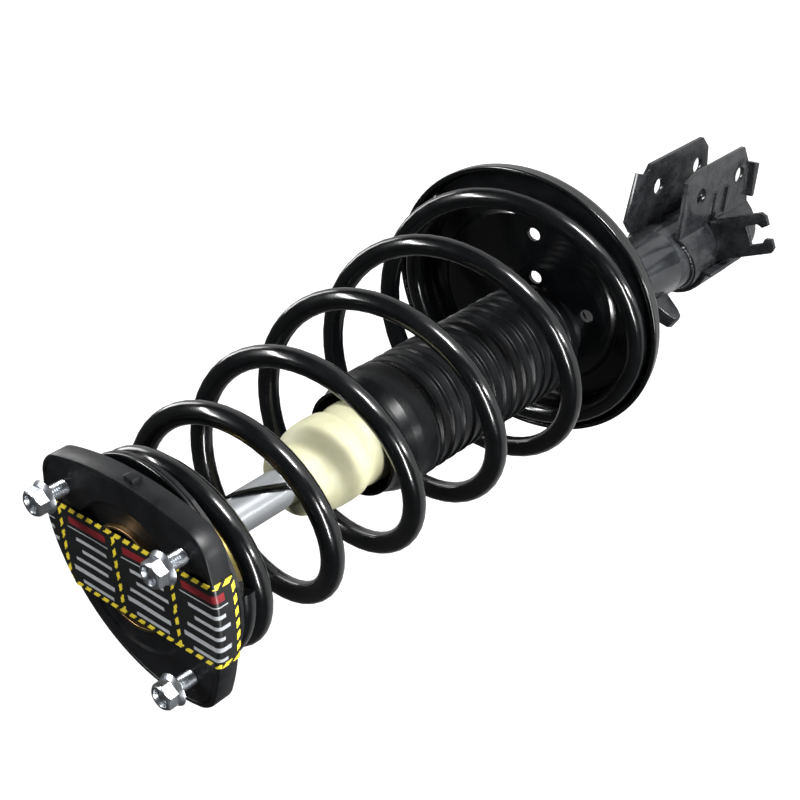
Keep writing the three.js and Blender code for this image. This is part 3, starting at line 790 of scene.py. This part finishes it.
@dataclass
class TopMount:
    """The moulded three-cornered mount with its collar, studs and nuts."""

    top: float = 552.0
    height: float = 12.0
    shell: float = 2.8
    skirt: float = 4.0
    corner_radius: float = 17.5
    front_sag: float = 5.5
    back_sag: float = 29.5
    stud_circle: float = 55.9
    stud_degrees: tuple[float, ...] = (-53, 49.6, -136.6)
    recess_radius: float = 41.7
    collar_radius: float = 29.1
    collar_wall: float = 1.6
    collar_floor: float = 12.0
    stud_radius: float = 4.0
    stud_stand: float = 17.6
    thread_pitch: float = 1.25
    nut_stand: float = 10.6
    nut_flats: float = 13.0
    nut_height: float = 7.0
    flange_radius: float = 9.0
    flange_height: float = 2.0
    head_base: float = 543.6
    head_top: float = 545.8
    head_radius: float = 7.5
    nub_size: tuple[float, float, float] = (6.4, 7.0, 6.5)
    nub_radius: float = 57.9
    nub_height: float = 546.5
    nub_degrees: float = -8.0

    def centres(self) -> list[Vector]:
        """Finds the studs' centres.

        Returns:
            The centres.
        """
        angles = [math.radians(d) for d in self.stud_degrees]
        return [Vector((math.cos(a), math.sin(a))) * self.stud_circle for a in angles]

    def outline(self, offset: float, arc_steps: int = 28) -> list[Point]:
        """Returns the mount's rounded triangle, grown outwards by an offset.

        Args:
            offset: Growth.
            arc_steps: Steps along each of its six arcs.

        Returns:
            Corners, anticlockwise.
        """
        corners = self.centres()
        sags = (self.front_sag, self.back_sag, self.front_sag)
        sides = []
        for i, start in enumerate(corners):
            end = corners[(i + 1) % 3]
            half = (end - start).length / 2
            radius = (half * half + sags[i] ** 2) / (2 * sags[i])
            across = (end - start).normalized()
            outward = Vector((across.y, -across.x))
            sides.append((radius, (start + end) / 2 + outward * (sags[i] - radius)))
        points: list[Point] = []
        for i, corner in enumerate(corners):
            before, after = sides[i - 1], sides[i]
            following = corners[(i + 1) % 3]
            turns = [corner - before[1], corner - after[1], following - after[1]]
            angles = [math.atan2(t.y, t.x) for t in turns]
            arcs = (
                (corner, self.corner_radius + offset, angles[0], angles[1]),
                (after[1], after[0] + self.corner_radius + offset, angles[1], angles[2]),
            )
            for centre, radius, start_angle, end_angle in arcs:
                sweep = (end_angle - start_angle) % TURN
                for step in range(arc_steps):
                    a = start_angle + sweep * step / arc_steps
                    x, y = radius * math.cos(a), radius * math.sin(a)
                    points.append((centre.x + x, centre.y + y))
        return points

    def body(self) -> None:
        """Builds the rubber body: raised border, recess, bore and hollow underside."""
        base = self.top - self.height
        shape = extruded_outline(self.outline(0), base, self.top)
        cap = max(shape.faces, key=lambda f: f.calc_center_median().z)
        bmesh.ops.inset_region(shape, faces=[cap], thickness=2.6 * MM, depth=0)
        bmesh.ops.inset_region(shape, faces=[cap], thickness=0.5 * MM, depth=-0.45 * MM)
        high, low = self.top * MM - 1e-5, base * MM + 1e-5
        eased(shape, 1.3, 60, lambda middle: middle.z > high)
        eased(shape, 0.8, 60, lambda middle: middle.z < low)
        body = as_object("moulded_mount_body", shape, [RUBBER])
        ring = self.top - self.shell - 3.1
        cut(body, extruded_outline(self.outline(-self.skirt), base - 1, ring))
        bore = self.collar_radius + 0.3
        above, sunk = self.top + 1, self.top - self.shell
        cut(body, turned([(0, ring - 1), (bore, ring - 1), (bore, above), (0, above)], 128))
        dish = [
            (self.collar_radius - 2, sunk), (self.recess_radius - 1.6, sunk),
            (self.recess_radius - 0.4, sunk + 0.7), (self.recess_radius + 0.4, above),
            (self.collar_radius - 2, above),
        ]
        cut(body, turned(dish, 128))
        for centre in self.centres():
            at = Matrix.Translation((centre.x * MM, centre.y * MM, 0))
            hole = self.stud_radius + 0.3
            drill = [(0, base - 1), (hole, base - 1), (hole, above), (0, above)]
            cut(body, moved(turned(drill, 40), at))
            dimple = [(5, self.top - 0.5), (8.6, self.top - 0.5), (9.4, above), (5, above)]
            cut(body, moved(turned(dimple, 64), at))
        settle(body, Body.MOUNT, "black_rubber", "mount_body")

    def nub(self) -> None:
        """Builds the small locating nub on the skirt."""
        shape = bmesh.new()
        bmesh.ops.create_cube(shape, size=1)
        bmesh.ops.scale(shape, vec=Vector(self.nub_size) * MM, verts=shape.verts)
        eased(shape, 1.0)
        out = Matrix.Translation(Vector((self.nub_radius, 0, self.nub_height)) * MM)
        at = Matrix.Rotation(math.radians(self.nub_degrees), 4, "Z") @ out
        settle(as_object("skirt_nub", moved(shape, at), [RUBBER]), Body.MOUNT, "black_rubber")

    def collar(self) -> None:
        """Builds the plated collar that lines the bore."""
        r, w, z = self.collar_radius, self.collar_wall, self.top - self.collar_floor
        profile = [
            (8.3, z), (r, z), (r, self.top + 0.3), (r - w, self.top + 0.3), (r - w, z + 1.8),
            (8.3, z + 1.8),
        ]
        collar = as_object("plated_bore_collar", turned(profile, 128, 0.35), [BROWN_CHROMATE])
        settle(collar, Body.MOUNT, "yellow_zinc", "mount_collar")

    def stud(self) -> Shape:
        """Makes a stud with its thread.

        Returns:
            The stud, on the axis.
        """
        r, tip = self.stud_radius, self.top + self.stud_stand
        profile: list[Point] = [
            (0, self.head_base), (self.head_radius, self.head_base),
            (self.head_radius, self.head_top), (r, self.head_top), (r, self.top - 0.4),
        ]
        z = self.top
        while z < tip - 1.6:
            profile += [(r - 0.62, z + 0.32), (r, z + 0.62), (r, z + 0.8)]
            z += self.thread_pitch
        profile += [(r - 0.5, tip - 0.8), (r - 1.2, tip), (0, tip)]
        return turned(profile, 40)

    def nut(self) -> Piece:
        """Makes a flange nut.

        Returns:
            The nut, on the axis and not yet riding.
        """
        base = self.top + self.nut_stand
        shoulder = base + self.flange_height
        top = shoulder + self.nut_height
        corner = self.nut_flats / math.sqrt(3)
        hexagon = bmesh.new()
        ring = bmesh.ops.create_circle(hexagon, cap_ends=True, radius=corner * MM, segments=6)
        bmesh.ops.translate(hexagon, verts=ring["verts"], vec=(0, 0, base * MM))
        grown = bmesh.ops.extrude_face_region(hexagon, geom=list(hexagon.faces), use_keep_orig=True)
        lifted = [v for v in grown["geom"] if isinstance(v, bmesh.types.BMVert)]
        bmesh.ops.translate(hexagon, verts=lifted, vec=(0, 0, (top - base) * MM))
        bmesh.ops.recalc_face_normals(hexagon, faces=hexagon.faces)
        eased(hexagon, 0.25, 40, lambda middle: (base + 1) * MM < middle.z < (top - 1) * MM)
        nut = as_object("nut", hexagon, [ZINC])
        flats = self.nut_flats / 2
        cone = [
            (0, base - 1), (corner + 1, base - 1), (corner + 1, top - 2.2), (flats - 0.4, top),
            (0, top),
        ]
        cut(nut, turned(cone, 64), "INTERSECT")
        r = self.flange_radius
        flange = [
            (0, base), (r - 0.5, base), (r, base + 0.5), (r - 0.3, base + 1.1),
            (corner - 0.2, shoulder + 0.7), (0, shoulder + 0.7),
        ]
        cut(nut, turned(flange, 72), "UNION")
        bore = self.stud_radius + 0.25
        drill = [
            (0, base - 1), (bore, base - 1), (bore, top - 1), (bore + 1.1, top + 1), (0, top + 1),
        ]
        cut(nut, turned(drill, 40))
        return nut

    def fasteners(self) -> None:
        """Builds the three studs and their nuts."""
        for number, (centre, degrees) in enumerate(zip(self.centres(), self.stud_degrees), 1):
            at = Matrix.Translation((centre.x * MM, centre.y * MM, 0))
            stud = as_object(f"threaded_stud_{number}", moved(self.stud(), at), [ZINC])
            settle(stud, Body.MOUNT, "zinc", f"stud_{number}")
            nut = self.nut()
            nut.name = f"plated_flange_nut_{number}"
            nut.data.transform(at @ Matrix.Rotation(math.radians(degrees + 12 * number), 4, "Z"))
            settle(nut, Body.MOUNT, "zinc", f"flange_nut_{number}")

    def build(self) -> None:
        """Builds the whole mount."""
        self.body()
        self.nub()
        self.collar()
        self.fasteners()


@dataclass
class LabelBand:
    """The printed film over the mount: it bridges the recess and folds down the skirt.

    Its print is plain bars and a dashed border: no words.
    """

    mount: TopMount
    left: float = -23.5
    right: float = 25.5
    cell: float = 0.7
    drop: float = 11.6
    film: float = 0.25
    lift: float = 0.75
    bend: float = 3.2
    panel: float = 42.0
    border: float = 2.6
    dash: float = 7.0
    dash_share: float = 0.58
    inset: float = 4.2
    heading: float = 4.6
    row_start: float = 4.4
    row_pitch: float = 6.4
    row_share: float = 0.34
    bars: tuple[Point, ...] = ((3.0, 27.5), (1.0, 33.0), (4.5, 30.0), (0.5, 24.0))

    def edge(self, x: float, front: bool) -> float:
        """Returns where the mount's outline crosses a given x.

        Args:
            x: Across the band.
            front: True for the side with the fold.

        Returns:
            The crossing's y.
        """
        ring = self.mount.outline(0.5)
        crossings = []
        for (x0, y0), (x1, y1) in zip(ring, ring[1:] + ring[:1]):
            if (x0 - x) * (x1 - x) <= 0 and x0 != x1:
                crossings.append(y0 + (y1 - y0) * (x - x0) / (x1 - x0))
        return min(crossings) if front else max(crossings)

    def height(self, x: float, y: float) -> float:
        """Finds the film's height: it ripples over the recess, where nothing holds it up.

        Args:
            x: Across the band.
            y: Along the band.

        Returns:
            The height.
        """
        over = max(0.0, 1 - math.hypot(x, y) / self.mount.recess_radius)
        ripple = 0.35 * math.sin(y / 7.5 + x / 16) + 0.25 * math.sin(x / 6.0 - y / 23)
        return self.mount.top + self.lift + over * (0.9 * ripple + 0.1)

    def ink(self, u: float, v: float) -> int:
        """Returns which ink covers a spot.

        Args:
            u: Across the band from its left edge.
            v: Along the band from the fold's lower end.

        Returns:
            0 for the bare film, 1 for yellow, 2 for grey and 3 for red.
        """
        width = self.right - self.left
        along = v % self.panel
        near_side = min(u, width - u) < self.border
        near_seam = min(along, self.panel - along) < self.border * 0.5
        if near_side:
            return 1 if (v + u) % self.dash < self.dash * self.dash_share else 0
        if near_seam:
            return 1 if (u + along) % self.dash < self.dash * self.dash_share else 0
        inset = self.inset
        if not inset < along < self.panel - inset:
            return 0
        heading = width - self.border - 7.4
        if heading < u < heading + self.heading:
            return 3 if inset + 2.5 < along < self.panel - inset - 2.5 else 0
        row = (u - self.row_start) / self.row_pitch
        if u < self.row_start or u > heading - 1.6 or row % 1 > self.row_share:
            return 0
        start, end = self.bars[int(row) % len(self.bars)]
        return 2 if inset + start < along < inset + end else 0

    def build(self) -> None:
        """Builds the band as a fine sheet whose faces hold the inks."""
        across = round((self.right - self.left) / self.cell)
        columns = [self.left + (self.right - self.left) * i / across for i in range(across + 1)]
        fronts = [self.edge(x, True) for x in columns]
        backs = [self.edge(x, False) for x in columns]
        length = max(backs) - min(fronts)
        rows = round((length + self.drop) / self.cell)
        shape = bmesh.new()
        bmesh.ops.create_grid(shape, x_segments=across, y_segments=rows, size=0.5)
        for vert in shape.verts:
            i = round((vert.co.x + 0.5) * across)
            x = columns[i]
            path = (vert.co.y + 0.5) * (length + self.drop) - self.drop
            y = fronts[i] + max(0.0, path) * (backs[i] - 0.6 - fronts[i]) / length
            turn_length = self.bend * math.pi / 2
            flat = path - self.bend
            if flat >= 0:
                z = self.height(x, y)
            else:
                angle = min(-flat, turn_length) / self.bend
                level = self.height(x, fronts[i] + self.bend)
                y = fronts[i] + self.bend * (1 - math.sin(angle))
                z = level - self.bend * (1 - math.cos(angle)) - max(0.0, -flat - turn_length)
            vert.co = Vector((x, y, z)) * MM
        origin_y = min(fronts) - self.drop
        for face in shape.faces:
            middle = face.calc_center_median() / MM
            i = min(across, max(0, round((middle.x - self.left) / self.cell)))
            if middle.y < fronts[i] + 0.35:
                along = self.drop - (self.mount.top - middle.z)
            else:
                along = middle.y - origin_y
            face.material_index = self.ink(middle.x - self.left, along)
        bmesh.ops.recalc_face_normals(shape, faces=shape.faces)
        bmesh.ops.solidify(shape, geom=list(shape.faces), thickness=self.film * MM)
        band = as_object("printed_label_band", shape, [FILM, INK_YELLOW, INK_GREY, INK_RED])
        settle(band, Body.MOUNT, "label_film", "label_band")


@dataclass
class KnuckleEnd:
    """The pressed bracket, its strap, the hose hook and the lug, with their welds."""

    sheet_ease: float = 0.7
    clamp_radius: float = 24.6
    bead_radius: float = 1.7
    pieces: tuple[tuple[str, str], ...] = (
        ("knuckle_bracket", "pressed_knuckle_bracket"),
        ("bracket_reinforcement", "clamp_strap"),
        ("hose_hook", "brake_hose_hook"),
        ("hose_lug", "cast_hose_lug"),
    )

    def weld(self, name: str, start: float, end: float, height: float, slope: float) -> None:
        """Builds a rippled weld bead along part of the clamp's upper edge.

        Args:
            name: The bead's name.
            start: First angle in degrees.
            end: Last angle in degrees.
            height: Height of the bead on the axis.
            slope: Rise in height towards +X.
        """
        bead = bmesh.new()
        radius = self.bead_radius * MM
        ring = bmesh.ops.create_circle(bead, cap_ends=True, radius=radius, segments=10)
        out = Matrix.Translation((self.clamp_radius * MM, 0, height * MM))
        upright = out @ Matrix.Rotation(math.pi / 2, 4, "X")
        first = Matrix.Rotation(math.radians(start), 4, "Z") @ upright
        bmesh.ops.transform(bead, matrix=first, verts=ring["verts"])
        bmesh.ops.spin(
            bead,
            geom=list(bead.faces),
            cent=(0, 0, 0),
            axis=(0, 0, 1),
            angle=math.radians(end - start),
            steps=round((end - start) / 1.5),
        )
        for vert in bead.verts:
            angle = math.atan2(vert.co.y, vert.co.x)
            vert.co.z += vert.co.x * slope + 0.25 * MM * math.sin(60 * angle)
        bmesh.ops.remove_doubles(bead, verts=bead.verts, dist=1e-6)
        bmesh.ops.recalc_face_normals(bead, faces=bead.faces)
        settle(as_object(name, bead, [ELECTROCOAT]), Body.STRUT, "bracket_paint")

    def build(self) -> None:
        """Builds the pressed pieces and the clamp's weld."""
        for node, name in self.pieces:
            pressed_copy(node, name, self.sheet_ease)
        self.weld("clamp_weld_bead", start=52, end=308, height=74.6, slope=0.34)


@dataclass
class HiddenWorks:
    """The inner pieces whose shapes stay as they are and only get a finish."""

    finishes: tuple[tuple[Finish, tuple[str, ...]], ...] = (
        (STEEL, ("tube_end_cap", "base_valve", "pressure_cylinder", "rod_guide", "tube_cap")),
        (STEEL, ("piston", "bearing_upper_race", "bearing_lower_race")),
        (STEEL, ("mount_plate", "bump_plate")),
        (RUBBER, ("rod_seal", "lower_insulator", "upper_insulator", "mount_bush")),
        (NYLON, ("rebound_stop", "ball_cage")),
        (POWDER_COAT, ("seat_support",)),
        (ZINC, ("rod_washer", "rod_nut")),
    )

    def build(self) -> None:
        """Dresses each node."""
        for finish, names in self.finishes:
            for name in names:
                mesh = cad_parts[name].data
                mesh.materials.clear()
                mesh.materials.append(finish.material())


@dataclass
class Studio:
    """The pale floor, the soft lights and the camera."""

    camera_at: tuple[float, float, float] = (0.405, -0.4724, 0.8688)
    elevation: float = math.radians(39.99)
    azimuth: float = math.radians(-50.1)
    roll: float = math.radians(-120.71)
    lens: float = 63.27
    floor_height: float = -0.0152
    room_glow: float = 0.055
    board_glow: float = 0.97
    aim: tuple[float, float, float] = (0.02, 0.01, 0.29)

    def axes(self) -> tuple[Vector, Vector, Vector]:
        """Finds the camera's own directions.

        Returns:
            Its right, up and backward directions.
        """
        ce, se = math.cos(self.elevation), math.sin(self.elevation)
        ca, sa = math.cos(self.azimuth), math.sin(self.azimuth)
        back = Vector((ce * ca, ce * sa, se))
        level = Vector((-sa, ca, 0))
        down = Vector((se * ca, se * sa, -ce))
        cr, sr = math.cos(self.roll), math.sin(self.roll)
        return level * cr - down * sr, -(level * sr + down * cr), back

    def seen_only(
        self, tree: bpy.types.NodeTree, socket: bpy.types.NodeSocket, hidden: float, seen: float
    ) -> None:
        """Feeds a socket one value where the camera looks straight at it, and another elsewhere.

        Args:
            tree: The node tree.
            socket: The socket that is fed.
            hidden: The value that reflections and bounced light get.
            seen: The value that the camera sees.
        """
        path = add_node(tree, "ShaderNodeLightPath").outputs["Is Camera Ray"]
        ends = {"To Min": hidden, "To Max": seen}
        value = add_node(tree, "ShaderNodeMapRange", ends, {"Value": path})
        tree.links.new(value.outputs["Result"], socket)

    def light(
        self, name: str, right: float, up: float, back: float, size: Point, watts: float
    ) -> None:
        """Adds a soft light placed from the camera's own directions and aimed at the strut.

        Args:
            name: The light's name.
            right: Metres to the camera's right of the strut's middle.
            up: Metres above it, as the camera sees it.
            back: Metres from it towards the camera.
            size: Width and height in metres.
            watts: Power.
        """
        data = bpy.data.lights.new(name, "AREA")
        data.shape = "RECTANGLE"
        data.size, data.size_y = size
        data.energy = watts
        made = bpy.data.objects.new(name, data)
        bpy.context.scene.collection.objects.link(made)
        r, u, b = self.axes()
        aim = Vector(self.aim)
        made.location = aim + r * right + u * up + b * back
        made.rotation_euler = (aim - made.location).to_track_quat("-Z", "Y").to_euler()

    def build(self) -> None:
        """Builds the floor, lights, world and camera."""
        scene = bpy.context.scene
        board = bmesh.new()
        bmesh.ops.create_circle(board, cap_ends=True, radius=6, segments=96)
        bmesh.ops.translate(board, verts=board.verts, vec=(0, 0, self.floor_height))
        floor = as_object("studio_floor", board, [BOARD])
        sheet = BOARD.material().node_tree
        shader = sheet.nodes["Principled BSDF"]
        shader.inputs["Emission Color"].default_value = (1, 1, 1, 1)
        self.seen_only(sheet, shader.inputs["Emission Strength"], 0.0, self.board_glow)
        data = bpy.data.cameras.new("camera")
        data.lens = self.lens
        data.sensor_width = 36
        camera = bpy.data.objects.new("camera", data)
        scene.collection.objects.link(camera)
        right, up, back = self.axes()
        facing = Matrix((right, up, back)).transposed().to_4x4()
        camera.matrix_world = Matrix.Translation(self.camera_at) @ facing
        scene.camera = camera
        world = bpy.data.worlds.new("soft_room")
        world.use_nodes = True
        backdrop = world.node_tree.nodes["Background"]
        backdrop.inputs["Color"].default_value = (1, 1, 1, 1)
        strength = backdrop.inputs["Strength"]
        self.seen_only(world.node_tree, strength, self.room_glow, self.board_glow)
        scene.world = world
        scene.view_settings.view_transform = "Standard"
        self.light("key_softbox", 0.75, 0.75, 1.2, (0.5, 0.2), 44)
        self.light("left_strip", -1.1, 0.5, 0.5, (0.14, 0.8), 16)
        self.light("low_strip", 0.5, -0.9, 0.9, (0.8, 0.12), 16)
        self.light("rear_strip", 1.0, -0.1, 0.35, (0.12, 0.7), 14)
        self.light("back_fill", -0.7, 0.9, -0.8, (0.9, 0.9), 14)


def main() -> None:
    """Builds the strut and its studio."""
    logging.basicConfig(level=logging.INFO, format="%(name)s: %(message)s")
    seat = LowerSeat()
    mount = TopMount()
    parts = (
        Studio(),
        HiddenWorks(),
        Damper(),
        seat,
        CoilSpring(seat),
        BumpStop(),
        DustBoot(),
        UpperSeat(),
        mount,
        LabelBand(mount),
        KnuckleEnd(),
    )
    for part in parts:
        part.build()
        LOG.info("built %s", type(part).__name__)


if __name__ == "__main__":
    main()
